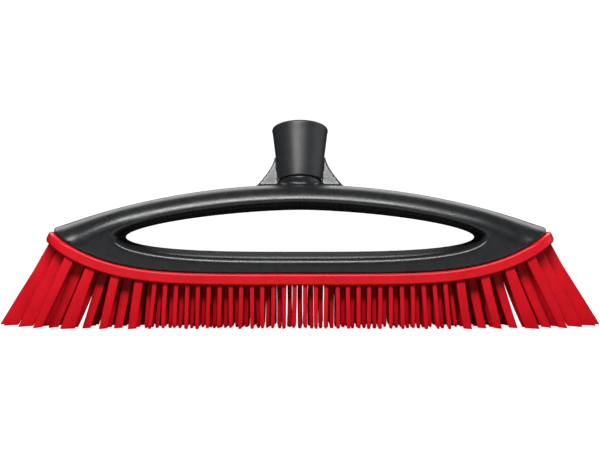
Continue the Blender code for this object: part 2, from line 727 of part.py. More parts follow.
clear_scene()
BROOM = collection("push_broom_head")
CUTTERS = collection("cutters")
ORIGIN = bpy.data.objects.new("broom_origin", None)
ORIGIN.location = (0, HEAD_MIDDLE, 0)
BROOM.objects.link(ORIGIN)
make_bridge_body()
make_handle_socket()
make_thread_insert()
make_socket_screw()
make_bumper_band()
make_base_plate()
for index in range(len(ROW_DEPTHS)):
    make_bristle_row(index)
for index, place_u in enumerate(PLATE_SCREWS):
    make_base_screw(index + 1, place_u)
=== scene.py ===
"""Looks of the push broom head: moulded shells, rubber bristles, materials, light and camera.

Lengths are in metres. The head lies along X and its front faces -Y. The base line is the
arched joint between the black body and the red rubber: a place below it is (u, y, n), with u
the line's own X, y the depth and n the distance below the line, square to it.
"""

import math
import random

import bmesh
import bpy
from mathutils import Matrix, Vector


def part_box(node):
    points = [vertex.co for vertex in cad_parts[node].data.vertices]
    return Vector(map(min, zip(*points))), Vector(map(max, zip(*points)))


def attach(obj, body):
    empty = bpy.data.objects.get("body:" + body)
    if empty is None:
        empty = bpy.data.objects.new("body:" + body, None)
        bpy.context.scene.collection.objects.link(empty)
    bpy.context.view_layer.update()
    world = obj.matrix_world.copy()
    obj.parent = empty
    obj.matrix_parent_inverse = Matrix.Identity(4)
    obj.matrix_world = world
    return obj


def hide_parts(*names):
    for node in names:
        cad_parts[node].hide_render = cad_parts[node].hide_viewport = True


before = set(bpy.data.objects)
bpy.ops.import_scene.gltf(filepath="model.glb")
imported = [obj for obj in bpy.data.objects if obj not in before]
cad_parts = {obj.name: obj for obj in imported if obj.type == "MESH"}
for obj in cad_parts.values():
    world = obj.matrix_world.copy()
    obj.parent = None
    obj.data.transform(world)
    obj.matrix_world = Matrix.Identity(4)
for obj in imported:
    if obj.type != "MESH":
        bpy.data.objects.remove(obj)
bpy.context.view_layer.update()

MM = 0.001

# Clearance between neighbouring pieces, and how far a cutter runs past the faces it cuts.
GAP = 0.3 * MM
CUT_PAST = 3 * MM

# The head's middle plane, read from the frame.
BAND_LOW, BAND_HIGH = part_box("bumper_band")
HEAD_MIDDLE = (BAND_LOW[1] + BAND_HIGH[1]) / 2

# Base line: the joint between the body and everything hung under it.
BASE_HEIGHT = 33.4 * MM
BASE_RISE = 27 * MM
BASE_REACH = 150.8 * MM
BASE_POWER = 4.9

# Body: an arch over a lens-shaped hand hole, remeshed and softened so that its edges look moulded.
BODY_HALF_LENGTH = 148.5 * MM
BODY_HALF_DEPTH = 21.8 * MM
BODY_CORNER = 14 * MM
BODY_SKIRT = 0.6 * MM
RIDGE_HEIGHT = 86.45 * MM
RIDGE_FALL = 26.1 * MM
RIDGE_POWER = 2.03
ROLL_RADIUS = 13.2 * MM
ROLL_GROWTH = 7.5 * MM
ROLL_STEADY = 108 * MM
ROLL_POWER = 1.3
HOLE_HALF_LENGTH = 106 * MM
HOLE_MIDDLE = 55 * MM
HOLE_RISE = 16.15 * MM
HOLE_DROP = 9 * MM
HOLE_DRAFT = 3.4 * MM
HOLE_FILLET = 4 * MM
HOLE_TOP_POWER = 1.6
HOLE_TOP_FULLNESS = 0.61
HOLE_BOTTOM_POWER = 3.2
HOLE_BOTTOM_FULLNESS = 0.5
BODY_POINTS = 121
BODY_CORNER_POINTS = 14
ROLL_POINTS = 18
HOLE_POINTS = 200
FILLET_POINTS = 14
VOXEL = 0.75 * MM
SOFTEN_SHARE = 0.5
SOFTEN_ROUNDS = 6

# Handle socket: a cone on a short neck, tilted back, with a web at each side.
SOCKET_TILT = math.radians(18)
SOCKET_FOOT = Vector((0, 0, 80 * MM))
SEAM_AT = 8.9 * MM
MOUTH_AT = 43.2 * MM
SEAM_RADIUS = 13 * MM
MOUTH_RADIUS = 17.2 * MM
NECK_RADIUS = 12.7 * MM
NECK_SKIRT = 17.2 * MM
NECK_SWEEP = 1.9
NECK_SINK = 0.15 * MM
NECK_ROOT_HEIGHT = 77 * MM
NECK_ROOT_SCALE = 0.8
NECK_SIDES = 96
NECK_RINGS = 16
CONE_RINGS = 9
CONE_FIRST_AT = SEAM_AT + 2 * MM
CONE_LAST_AT = MOUTH_AT - 3 * MM
SPIGOT_RADIUS = 9 * MM
SPIGOT_LENGTH = 8 * MM
SPIGOT_CHAMFER = 0.6 * MM
WELL_FLOOR_AT = 0.4 * MM
WELL_SIDES = 64
SEAM_ROUND = 0.5 * MM
MOUTH_ROUND = 1.3 * MM
BRIM_ROUND = 0.7 * MM
SOCKET_SIDES = 144
SOCKET_BORE = 11.9 * MM
BORE_FLOOR_AT = 14 * MM
SCREW_WELL = 4.8 * MM
SCREW_HOLE = 2.4 * MM
SCREW_FLOOR = 3 * MM
WEB_TOP_AT = 25.2 * MM
WEB_FOOT_AT = 6 * MM
WEB_FOOT_WIDTH = 11.2 * MM
WEB_SWEEP = 1.6
WEB_EDGE = 3 * GAP
WEB_ROOT_EDGE = 2 * GAP
WEB_ROOT_AT = 1 * MM
WEB_SINK = 2 * MM
WEB_STEP = 1.5 * MM
WEB_LAP = 0.6 * GAP
WEB_HEEL = 0.4 * MM
WEB_POINTS = 30
WEB_HALF_THICKNESS = 1.25 * MM
THREAD_PITCH = 5 * MM
THREAD_MINOR = 9.6 * MM
THREAD_MAJOR = 10.6 * MM

# The thread starts and stops this far inside the bush, and fades in and out over this many rings.
THREAD_LEAD_IN = 2.5 * MM
THREAD_RUN_OUT = 3.5 * MM
THREAD_FADE = 16

# Its root goes this deep into the bush's wall, its shoulders lie this far below the crest, and
# its two ends are sunk this deep.
THREAD_ROOTED = 0.3 * MM
THREAD_EASE = 0.2 * MM
THREAD_SUNK = 0.1 * MM
THREAD_SIDES = 64

# The bush, which stops short of the socket's mouth.
BUSH_RECESS = 1.2 * MM
BUSH_RIM = 0.35 * MM
BUSH_CHAMFER = 0.7 * MM
BUSH_CHAMFER_DEPTH = 0.9 * MM
BUSH_SIDES = 96

# Half heights of the thread's ridge at its root, its shoulder and its crest.
THREAD_SECTION = (1.2 * MM, 0.75 * MM, 0.45 * MM)

# Bumper band: an angle-section ring whose ends swell into a rounded nose.
BAND_HALF_LENGTH = 149.8 * MM
BAND_HALF_DEPTH = 23 * MM
BAND_CORNER = 15 * MM
BAND_HEIGHT = 7.2 * MM
NOSE = 1.6 * MM
NOSE_DRAW = 0.4
NOSE_ROUND = 4 * MM
NOSE_ROUND_DEPTH = 3.6 * MM
LIP = 1.3 * MM
FLANGE_WIDTH = 5.5 * MM
FLANGE_BOTTOM = 1.3 * MM
BAND_TOP_ROUND = 1.7 * MM
BAND_FOOT_ROUND = 1.1 * MM
BAND_INNER_ROUND = 0.35 * MM
BAND_POINTS = 91
BAND_CORNER_POINTS = 16
BAND_SHARP = 50

# Bristle rows, front to back: narrow fingers in the middle, wide slats at both ends.
ROW_DEPTHS = [-20.1 * MM, -12.9 * MM, -5.5 * MM, 5.5 * MM, 12.9 * MM, 20.1 * MM]
RIB_HALF_WIDTH = 2.1 * MM
OUTER_RIB_HALF_WIDTH = 1.6 * MM
RIB_TOP = 1.6 * MM
RIB_BOTTOM = 4.1 * MM
RIB_OVERHANG = 0.1 * MM
RIB_POINTS = 101
FINGER_ROOT = 2.9 * MM
FINGER_PITCH = 6.35 * MM
FINGER_REACH = 90 * MM
FINGER_WIDTH = 2.8 * MM
FINGER_TIP = 2.4 * MM
FINGER_THICKNESS = 2.2 * MM
TIP_THICKNESS = 1.8 * MM
SLAT_WIDTH = 5.3 * MM
BRISTLE_ROUNDING = 0.4
BRISTLE_SHARP = 45
CORNER_STEPS = 3

# A bristle's rings: shares of its length, then shares of its narrowing tip, counted from the end.
SHAFT_PARTS = [0, 0.15, 0.3, 0.45, 0.6, 0.75, 0.87]
TIP_PARTS = [1, 0.7, 0.4, 0.15, 0]

# Slats on each side, as (place, width at the tip); the widest ones fan out towards the floor.
SLATS = [
    [(94.6 * MM, 5.2 * MM), (108.2 * MM, 5.2 * MM), (122 * MM, 9 * MM), (134 * MM, 5.6 * MM)],
    [(101.9 * MM, 5.2 * MM), (115.5 * MM, 5.2 * MM), (128.4 * MM, 6 * MM), (139.2 * MM, 9.2 * MM)],
    [
        (94.6 * MM, 6.6 * MM),
        (108.2 * MM, 6.8 * MM),
        (121 * MM, 5.2 * MM),
        (132.4 * MM, 7 * MM),
        (144.9 * MM, 9 * MM),
    ],
    [(101.9 * MM, 6.6 * MM), (115.5 * MM, 6.6 * MM), (128.8 * MM, 6.6 * MM), (144.9 * MM, 10.4 * MM)],
    [(94.6 * MM, 8.8 * MM), (108.2 * MM, 7 * MM), (131.3 * MM, 7 * MM), (141.2 * MM, 9 * MM)],
    [(101.9 * MM, 7 * MM), (115.5 * MM, 7 * MM), (128.8 * MM, 7 * MM)],
]

# How much further out the tips of each row's last slats stand.
SPLAY = [0, 0, 0, 3.6 * MM, 0, 0]

# How far the middle of each row's third slat bows inwards.
BOWED = [0, 0, 0.9 * MM, 0, 0, 0]
BOWED_SLAT = 2

# A tip's inner corner is lifted by this power of the way down, so that only the very end slopes.
SLOPE_POWER = 8

# From here outwards the tips stop short of the floor, more and more.
SHORT_FROM = 125 * MM
SHORT_RATE = 0.06

# Bristles leave the base line square, but from FAN_FROM outwards they lean less than that.
FAN_FROM = 122 * MM
FAN_LEAN = math.radians(21.4)
FAN_LEAN_RATE = math.radians(0.27) / MM

# Black plastic, as linear colours: its mottle, the dust in its grain and the highlight painted on its convex
# edges.
PLASTIC_DARK = (0.0140, 0.0148, 0.0162, 1)
PLASTIC_LIGHT = (0.0190, 0.0200, 0.0218, 1)
PLASTIC_DUST = (0.045, 0.047, 0.05, 1)
PLASTIC_EDGE_HIGHLIGHT = (0.05, 0.052, 0.055, 1)
PLASTIC_IOR = 1.49

# Specular levels outside the hand hole and on its wall, which lies in the arch's own shade.
PLASTIC_GLOSS = 0.5
HOLE_WALL_GLOSS = 0.012

# Red rubber, as linear colours: the bumper band and the bristles, each from deep to bright.
BAND_REDS = ((0.74, 0.008, 0.017, 1), (0.84, 0.010, 0.022, 1))
BRISTLE_REDS = ((0.70, 0.005, 0.013, 1), (0.86, 0.007, 0.019, 1))
STREAK_DARK = (0.86, 0.86, 0.86, 1)
STREAK_SHARE = 0.6

# Zinc plating.
ZINC_DARK = (0.42, 0.43, 0.45, 1)
ZINC_LIGHT = (0.62, 0.63, 0.64, 1)

# Noise values mostly lie between these, and are stretched to the full range of what they drive.
NOISE_LOW = 0.3
NOISE_HIGH = 0.7
BLACK = (0, 0, 0, 1)
WHITE = (1, 1, 1, 1)

# Stage: the floor's size and brightness, and where the light painted on its front begins and is full.
FLOOR_RADIUS = 6
FLOOR_SIDES = 96
FLOOR_GREY = (0.45, 0.45, 0.45, 1)
FLOOR_GLOW = 0.82
FLOOR_DIM = (0.02, 0.02, 0.02, 1)
FLOOR_LIT = (0.5, 0.5, 0.5, 1)
FLOOR_LIT_FROM = -0.04
FLOOR_LIT_FULL = -0.16

# Room: brightness of the white that the camera sees, of the panel high behind, and of the rest.
BACKDROP = 1.1
PANEL = 2.6
AMBIENT = 0.026

# Where the panel and the glow at the right begin and are full, as parts of a direction's length.
PANEL_BEHIND = (0.38, 0.47)
PANEL_ABOVE = (0.40, 0.52)
PANEL_ASIDE = (0.75, 0.55)
GLOW_RIGHT = (0.70, 0.95)

# Lamps: place, width, height and radiance.
LAMP_AIM = (0, 0, 0.07)
KEY = ((-0.11, -0.79, 0.90), 0.90, 0.25, 22)
FRONT_STRIP = ((-0.30, -1.02, 0.52), 0.50, 0.26, 13)

# Camera: straight on, about a metre from the middle of the head.
CAMERA_DISTANCE = 0.95
CAMERA_HEIGHT = 62.1 * MM
CAMERA_SENSOR = 36
CAMERA_LENS = 93.7


# ---------------------------------------------------------------- mesh helpers


def loft(rings, around=False):
    """A skin over rings of equal point counts: capped at both ends, or closed back on itself."""
    shape = bmesh.new()
    rows = [[shape.verts.new(point) for point in ring] for ring in rings]
    last = len(rows) if around else len(rows) - 1
    for index in range(last):
        here = rows[index]
        there = rows[(index + 1) % len(rows)]
        for k, corner in enumerate(here):
            beside = (k + 1) % len(here)
            shape.faces.new((corner, here[beside], there[beside], there[k]))
    if not around:
        shape.faces.new(rows[0])
        shape.faces.new(rows[-1])
    return shape


def join(shape, other):
    """Adds another bmesh's faces to this one."""
    mesh = bpy.data.meshes.new("joined")
    other.to_mesh(mesh)
    other.free()
    shape.from_mesh(mesh)
    bpy.data.meshes.remove(mesh)


def spread(low, high, count):
    """Evenly spaced values from low to high, both included."""
    return [low + (high - low) * k / (count - 1) for k in range(count)]


def mesh_object(name, shape, sharp=40):
    """A shown object from a bmesh built about the head's middle plane."""
    bmesh.ops.translate(shape, verts=shape.verts, vec=(0, HEAD_MIDDLE, 0))
    bmesh.ops.recalc_face_normals(shape, faces=shape.faces)
    mesh = bpy.data.meshes.new(name)
    shape.to_mesh(mesh)
    shape.free()
    mesh.shade_smooth()
    mesh.set_sharp_from_angle(angle=math.radians(sharp))
    made = bpy.data.objects.new(name, mesh)
    bpy.context.scene.collection.objects.link(made)
    return made


def applied(obj):
    """Bakes an object's modifiers into its mesh."""
    bpy.context.view_layer.update()
    graph = bpy.context.evaluated_depsgraph_get()
    mesh = bpy.data.meshes.new_from_object(obj.evaluated_get(graph))
    obj.modifiers.clear()
    obj.data = mesh
    return obj


def cut_or_join(target, tool, operation):
    """Applies an exact Boolean of the target with the tool, and uses the tool up."""
    step = target.modifiers.new("shape", "BOOLEAN")
    step.operation = operation
    step.object = tool
    step.solver = "EXACT"
    applied(target)
    bpy.data.objects.remove(tool, do_unlink=True)


def base_height(u):
    """Height of the base line: nearly flat in the middle, swept up at the ends."""
    return BASE_HEIGHT + BASE_RISE * (abs(u) / BASE_REACH) ** BASE_POWER


def base_lean(u):
    """Angle between the base line's square and straight down, positive towards +X."""
    slope = BASE_RISE * BASE_POWER / BASE_REACH * (abs(u) / BASE_REACH) ** (BASE_POWER - 1)
    return math.copysign(math.atan(slope), u)


def bend(u, y, n):
    """The point n below the base line at u, measured square to the line."""
    lean = base_lean(u)
    return Vector((u + n * math.sin(lean), y, base_height(u) - n * math.cos(lean)))


def ridge_height(x):
    """Height of the arch's ridge."""
    return RIDGE_HEIGHT - RIDGE_FALL * (abs(x) / BODY_HALF_LENGTH) ** RIDGE_POWER


def rounded_half_depth(x, half_length, half_depth, corner):
    """Half the depth at x of a plan outline with round corners."""
    past = max(0.0, abs(x) - (half_length - corner))
    return half_depth - corner + math.sqrt(max(0.0, corner**2 - past**2))


def stations(half_length, corner, straight_count, corner_count):
    """Places along X for slices: even along the straight, closer round the corners at both ends."""
    start = half_length - corner
    turn = [start + corner * math.sin(a) for a in spread(0, math.pi / 2, corner_count)]
    straight = spread(-start, start, straight_count)
    return [-x for x in reversed(turn)] + straight[1:-1] + turn


def socket_frame():
    """From the socket's own axes, its Z along the cone, to the head's."""
    return Matrix.Translation(SOCKET_FOOT) @ Matrix.Rotation(-SOCKET_TILT, 4, "X")


def place(shape, matrix):
    """Moves a bmesh by a matrix and hands it back."""
    bmesh.ops.transform(shape, matrix=matrix, verts=shape.verts)
    return shape


def circle(radius, height, steps):
    """A level ring of points round the Z axis."""
    angles = [2 * math.pi * k / steps for k in range(steps)]
    return [Vector((radius * math.cos(a), radius * math.sin(a), height)) for a in angles]


# ---------------------------------------------------------------- black shells


def roll_radius(x):
    """The rolled top's radius: steady along the arch, wider where it runs out at the ends."""
    past = max(0.0, abs(x) - ROLL_STEADY) / (BODY_HALF_LENGTH - ROLL_STEADY)
    return ROLL_RADIUS + ROLL_GROWTH * past**ROLL_POWER


def body_section(x):
    """One slice across the body: short skirts under a rolled top, cut off where the body is low."""
    depth = rounded_half_depth(x, BODY_HALF_LENGTH, BODY_HALF_DEPTH, BODY_CORNER)
    low = base_height(x)
    high = ridge_height(x)
    roll = min(roll_radius(x), depth)
    start = math.asin(max(0.0, 1 - (high - low - BODY_SKIRT) / roll))
    half = [Vector((x, -depth, low))]
    for angle in spread(start, math.pi / 2, ROLL_POINTS):
        y = -depth + roll * (math.cos(start) - math.cos(angle))
        half.append(Vector((x, y, high - roll * (1 - math.sin(angle)))))
    return half + [Vector((x, -point.y, point.z)) for point in reversed(half)]


def hole_ring(y, grow):
    """The hand hole's outline at depth y, moved out by grow: arched above, flatter below."""
    ring = []
    for k in range(HOLE_POINTS):
        turn = 2 * math.pi * k / HOLE_POINTS
        part = abs(math.cos(turn))
        if math.sin(turn) >= 0:
            z = HOLE_MIDDLE + (HOLE_RISE + grow) * (1 - part**HOLE_TOP_POWER) ** HOLE_TOP_FULLNESS
        else:
            z = HOLE_MIDDLE - (HOLE_DROP + grow) * (1 - part**HOLE_BOTTOM_POWER) ** HOLE_BOTTOM_FULLNESS
        ring.append(Vector(((HOLE_HALF_LENGTH + grow) * math.cos(turn), y, z)))
    return ring


def hand_hole():
    """The hole's cutter: narrowest at mid-depth, drafted both ways, with a fillet at each face."""
    start = BODY_HALF_DEPTH - HOLE_FILLET
    half = [(0.0, 0.0)]
    for angle in spread(0, math.pi / 2, FILLET_POINTS):
        grow = HOLE_DRAFT + HOLE_FILLET * (1 - math.cos(angle))
        half.append((start + HOLE_FILLET * math.sin(angle), grow))
    half.append((BODY_HALF_DEPTH + CUT_PAST, HOLE_DRAFT + HOLE_FILLET))
    front = [hole_ring(-y, grow) for y, grow in reversed(half)]
    back = [hole_ring(y, grow) for y, grow in half[1:]]
    return loft(front + back)


def arch_surface(x, y):
    """Height of the arch's rolled top at a place in plan, where its roll is steady."""
    past = max(0.0, abs(y) - (BODY_HALF_DEPTH - ROLL_RADIUS))
    return ridge_height(x) - ROLL_RADIUS + math.sqrt(ROLL_RADIUS**2 - past**2)


def neck():
    """The socket's neck, flaring from the tilted seam into the arch's rolled top."""
    top = [socket_frame() @ point for point in circle(NECK_RADIUS, SEAM_AT, NECK_SIDES)]
    skirt = []
    for k in range(NECK_SIDES):
        x = NECK_SKIRT * math.cos(2 * math.pi * k / NECK_SIDES)
        y = NECK_SKIRT * math.sin(2 * math.pi * k / NECK_SIDES)
        skirt.append(Vector((x, y, arch_surface(x, y) - NECK_SINK)))
    rings = [top]
    for angle in spread(0, math.pi / 2, NECK_RINGS)[1:]:
        outward = (1 - math.cos(angle)) ** NECK_SWEEP
        ring = []
        for high, low in zip(top, skirt):
            x = high.x + (low.x - high.x) * outward
            y = high.y + (low.y - high.y) * outward
            ring.append(Vector((x, y, high.z + (low.z - high.z) * math.sin(angle))))
        rings.append(ring)
    root = [Vector((p.x * NECK_ROOT_SCALE, p.y * NECK_ROOT_SCALE, NECK_ROOT_HEIGHT)) for p in skirt]
    return loft(rings + [root])


def cone_radius(along):
    """The socket cone's outer radius at a height along its axis."""
    part = (along - SEAM_AT) / (MOUTH_AT - SEAM_AT)
    return SEAM_RADIUS + (MOUTH_RADIUS - SEAM_RADIUS) * part


def web(side):
    """A gusset beside the socket, standing in the socket's own tilted plane."""
    sunk = NECK_RADIUS - WEB_SINK
    tip = cone_radius(WEB_TOP_AT) - GAP
    outline = [(sunk, WEB_ROOT_AT), (tip + WEB_FOOT_WIDTH + WEB_ROOT_EDGE, WEB_ROOT_AT)]
    for along in spread(WEB_FOOT_AT, WEB_TOP_AT, WEB_POINTS):
        part = (WEB_TOP_AT - along) / (WEB_TOP_AT - WEB_FOOT_AT)
        outline.append((tip + WEB_EDGE + WEB_FOOT_WIDTH * part**WEB_SWEEP, along))
    outline.append((tip, WEB_TOP_AT))
    outline.append((SEAM_RADIUS - WEB_LAP, SEAM_AT + WEB_HEEL))
    outline.append((sunk, SEAM_AT - WEB_STEP))
    rings = []
    for y in (-WEB_HALF_THICKNESS, WEB_HALF_THICKNESS):
        rings.append([Vector((side * x, y, along)) for x, along in outline])
    return place(loft(rings), socket_frame())


def make_body():
    """The arched body: lofted, joined to its neck and webs, then fused so its edges are moulded."""
    places = stations(BODY_HALF_LENGTH, BODY_CORNER, BODY_POINTS, BODY_CORNER_POINTS)
    body = mesh_object("body_shell", loft([body_section(x) for x in places]))
    cut_or_join(body, mesh_object("neck", neck()), "UNION")
    cut_or_join(body, mesh_object("web_left", web(-1)), "UNION")
    cut_or_join(body, mesh_object("web_right", web(1)), "UNION")
    cut_or_join(body, mesh_object("hand_hole", hand_hole()), "DIFFERENCE")
    seat = SEAM_AT + GAP / 2
    inner = SPIGOT_RADIUS + GAP
    outer = SEAM_RADIUS + GAP
    well = [(SCREW_HOLE, 0), (inner, WELL_FLOOR_AT), (inner, seat), (outer, seat), (outer, seat + CUT_PAST)]
    shape = place(loft([circle(radius, height, WELL_SIDES) for radius, height in well]), socket_frame())
    cut_or_join(body, mesh_object("spigot_well", shape), "DIFFERENCE")
    fuse = body.modifiers.new("fuse", "REMESH")
    fuse.mode = "VOXEL"
    fuse.voxel_size = VOXEL
    soften = body.modifiers.new("soften", "SMOOTH")
    soften.factor = SOFTEN_SHARE
    soften.iterations = SOFTEN_ROUNDS
    applied(body)
    body.data.shade_smooth()
    mark_hole_wall(body)
    return body


def mark_hole_wall(body):
    """Stores 1 on the hand hole's inner wall and 0 elsewhere, fading over its fillets."""
    mask = body.data.attributes.new("hole_wall", "FLOAT", "POINT")
    grow = HOLE_DRAFT + HOLE_FILLET
    fade = HOLE_FILLET / 2
    for vertex in body.data.vertices:
        x, y, z = vertex.co
        part = min(1.0, abs(x) / (HOLE_HALF_LENGTH + grow))
        above = (HOLE_RISE + grow) * (1 - part**HOLE_TOP_POWER) ** HOLE_TOP_FULLNESS
        below = (HOLE_DROP + grow) * (1 - part**HOLE_BOTTOM_POWER) ** HOLE_BOTTOM_FULLNESS
        inside = -below < z - HOLE_MIDDLE < above and part < 1
        depth = (BODY_HALF_DEPTH - fade - abs(y)) / fade
        mask.data[vertex.index].value = min(1.0, max(0.0, depth)) if inside else 0.0


def arc_points(centre, radius, start, end, count):
    """(radius, height) points round a centre, from angle start to end in degrees."""
    points = []
    for angle in spread(math.radians(start), math.radians(end), count):
        points.append((centre[0] + radius * math.cos(angle), centre[1] + radius * math.sin(angle)))
    return points


def make_socket():
    """The cone with its spigot, its bore and the screw well through its floor."""
    seat = SEAM_AT + GAP
    bottom = SEAM_AT - SPIGOT_LENGTH
    floor = bottom + SCREW_FLOOR
    profile = [(SCREW_HOLE, bottom), (SPIGOT_RADIUS - SPIGOT_CHAMFER, bottom)]
    profile += [(SPIGOT_RADIUS, bottom + SPIGOT_CHAMFER), (SPIGOT_RADIUS, seat)]
    profile += arc_points((SEAM_RADIUS - SEAM_ROUND, seat + SEAM_ROUND), SEAM_ROUND, -90, 0, 6)
    profile += [(cone_radius(along), along) for along in spread(CONE_FIRST_AT, CONE_LAST_AT, CONE_RINGS)]
    profile += arc_points((MOUTH_RADIUS - MOUTH_ROUND, MOUTH_AT - MOUTH_ROUND), MOUTH_ROUND, 0, 90, 10)
    profile += arc_points((SOCKET_BORE + BRIM_ROUND, MOUTH_AT - BRIM_ROUND), BRIM_ROUND, 90, 180, 8)
    profile += [(SOCKET_BORE, BORE_FLOOR_AT), (SCREW_WELL, BORE_FLOOR_AT), (SCREW_WELL, floor)]
    profile.append((SCREW_HOLE, floor))
    rings = [circle(radius, height, SOCKET_SIDES) for radius, height in profile]
    return mesh_object("socket_cone", place(loft(rings, around=True), socket_frame()))


def thread_ring(turns, height, fade):
    """The thread's section at one place of its coil: sunk in the wall at fade 0, full height at 1."""
    angle = 2 * math.pi * turns
    rooted = THREAD_MAJOR + THREAD_ROOTED
    crest = THREAD_MAJOR + THREAD_SUNK - (THREAD_MAJOR - THREAD_MINOR) * fade
    radii = (rooted, crest + THREAD_EASE, crest)
    section = [(r, -z) for r, z in zip(radii, THREAD_SECTION)]
    section += [(r, z) for r, z in zip(reversed(radii), reversed(THREAD_SECTION))]
    return [Vector((r * math.cos(angle), r * math.sin(angle), height + z)) for r, z in section]


def make_insert():
    """The threaded bush: a sleeve with its female thread as a coil standing from the wall."""
    low = BORE_FLOOR_AT + GAP
    high = MOUTH_AT - BUSH_RECESS
    outer = SOCKET_BORE - GAP
    profile = [(THREAD_MAJOR, low), (outer, low)]
    profile += arc_points((outer - BUSH_RIM, high - BUSH_RIM), BUSH_RIM, 0, 90, 5)
    profile += [(THREAD_MAJOR + BUSH_CHAMFER, high), (THREAD_MAJOR, high - BUSH_CHAMFER_DEPTH)]
    sleeve = loft([circle(radius, height, BUSH_SIDES) for radius, height in profile], around=True)
    start = low + THREAD_LEAD_IN
    stop = high - THREAD_RUN_OUT
    last = round((stop - start) / THREAD_PITCH * THREAD_SIDES)
    rings = []
    for k in range(last + 1):
        turns = k / THREAD_SIDES
        fade = min(1.0, k / THREAD_FADE, (last - k) / THREAD_FADE)
        rings.append(thread_ring(turns, start + THREAD_PITCH * turns, fade))
    join(sleeve, loft(rings))
    return mesh_object("threaded_bush", place(sleeve, socket_frame()))


# ---------------------------------------------------------------- red rubber


def plan_ring(inset, n):
    """The band's plan outline moved in by inset, at n below the base line; its ends are noses."""
    high = max(0.0, 1 - n / NOSE_ROUND_DEPTH)
    half_length = BAND_HALF_LENGTH + NOSE - NOSE_DRAW * n - NOSE_ROUND * high**2 - inset
    half_depth = BAND_HALF_DEPTH - inset
    corner = BAND_CORNER - inset
    front = []
    for u in stations(half_length, corner, BAND_POINTS, BAND_CORNER_POINTS):
        front.append((u, -rounded_half_depth(u, half_length, half_depth, corner)))
    back = [(-u, -y) for u, y in front]
    return [bend(u, y, n) for u, y in front + back]


def make_band():
    """The bumper band: a soft-cornered lip with a flange clamped under the body."""
    top = BAND_TOP_ROUND
    foot = BAND_FOOT_ROUND
    inner = BAND_INNER_ROUND
    profile = [(FLANGE_WIDTH, GAP)]
    profile += arc_points((top, GAP + top), top, -90, -180, 8)
    profile += arc_points((foot, BAND_HEIGHT - foot), foot, 180, 100, 6)
    profile += arc_points((LIP - inner, BAND_HEIGHT - inner), inner, 80, 0, 4)
    profile += [(LIP, FLANGE_BOTTOM), (FLANGE_WIDTH, FLANGE_BOTTOM)]
    rings = [plan_ring(inset, n) for inset, n in profile]
    return mesh_object("bumper_ring", loft(rings, around=True), BAND_SHARP)


def rounded_outline(half_width, half_thick):
    """A rounded rectangle's outline in plan, as (across, deep) pairs."""
    radius = BRISTLE_ROUNDING * min(half_width, half_thick)
    points = []
    for quarter, (i, j) in enumerate([(1, 1), (-1, 1), (-1, -1), (1, -1)]):
        for angle in spread(0, math.pi / 2, CORNER_STEPS):
            turn = angle + quarter * math.pi / 2
            across = i * (half_width - radius) + radius * math.cos(turn)
            points.append((across, j * (half_thick - radius) + radius * math.sin(turn)))
    return points


def finger_lean(u):
    """How far a bristle leans outwards: square to the base line, less than that past FAN_FROM."""
    most = FAN_LEAN + FAN_LEAN_RATE * max(0.0, abs(u) - FAN_FROM)
    return math.copysign(min(abs(base_lean(u)), most), u)


def bristle(u, y, width, tip_width, look):
    """One bristle, from inside its rib to the floor: it tapers or fans, bows a little and wanders.

    look holds stray_x and stray_y (how far its tip wanders), bow (how far its middle does), short
    (how much it stops above the floor), point and point_length (how much and over what length its
    tip narrows), and slope (how much higher its tip's inner corner is than its outer one).
    """
    root = bend(u, y, FINGER_ROOT)
    line = base_lean(u)
    side = math.copysign(1, u)
    reach_x = root.z * math.tan(finger_lean(u)) + look["stray_x"]
    tip_part = look["point_length"] / root.z
    rings = []
    for part in SHAFT_PARTS + [1 - share * tip_part for share in TIP_PARTS]:
        near_tip = max(0.0, (part - 1 + tip_part) / tip_part)
        narrowing = 1 - look["point"] * near_tip**2
        half_width = (width + (tip_width - width) * part) / 2 * narrowing
        half_thick = (FINGER_THICKNESS + (TIP_THICKNESS - FINGER_THICKNESS) * part) / 2 * narrowing
        sway = 4 * part * (1 - part) * look["bow"]
        x = root.x + reach_x * part + sway
        height = root.z * (1 - part) + look["short"] * part
        ring = []
        for across, deep in rounded_outline(half_width, half_thick):
            outward = side * across / half_width
            tilt = across * math.tan(line) * (1 - part)
            lift = look["slope"] * (1 - outward) / 2 * part**SLOPE_POWER
            place_y = y + deep + look["stray_y"] * part
            ring.append(Vector((x + across, place_y, max(0.0, height + tilt + lift))))
        rings.append(ring)
    return loft(rings)


def rib(row):
    """A row's arched rib; an outer one is narrow and reaches inwards from its bristles only."""
    middle = ROW_DEPTHS[row]
    half = RIB_HALF_WIDTH
    if row in (0, len(ROW_DEPTHS) - 1):
        half = OUTER_RIB_HALF_WIDTH
        middle -= math.copysign(half - FINGER_THICKNESS / 2, middle)
    reach = max(SLATS[row])[0] + SLAT_WIDTH / 2 + RIB_OVERHANG
    section = [(-half, RIB_TOP), (half, RIB_TOP), (half, RIB_BOTTOM), (-half, RIB_BOTTOM)]
    places = spread(-reach, reach, RIB_POINTS)
    return loft([[bend(u, middle + y, n) for y, n in section] for u in places])


def narrow_places(row):
    """Where a row's narrow fingers stand: every second row is shifted by half a pitch."""
    shift = 0.5 if row % 2 == 0 else 0.0
    count = math.ceil(FINGER_REACH / FINGER_PITCH)
    places = [(k + shift) * FINGER_PITCH for k in range(-count, count + 1)]
    return [u for u in places if abs(u) < FINGER_REACH]


def finger_look(chance):
    """How one narrow finger differs from the next; see bristle."""
    return {
        "stray_x": chance.uniform(-0.65, 0.65) * MM,
        "stray_y": chance.uniform(-0.6, 0.6) * MM,
        "bow": chance.uniform(-0.25, 0.25) * MM,
        "short": max(0.0, chance.uniform(-0.6, 0.9)) * MM,
        "point": chance.uniform(0.35, 0.6),
        "point_length": chance.uniform(1.6, 2.8) * MM,
        "slope": chance.uniform(0.0, 0.5) * MM,
    }


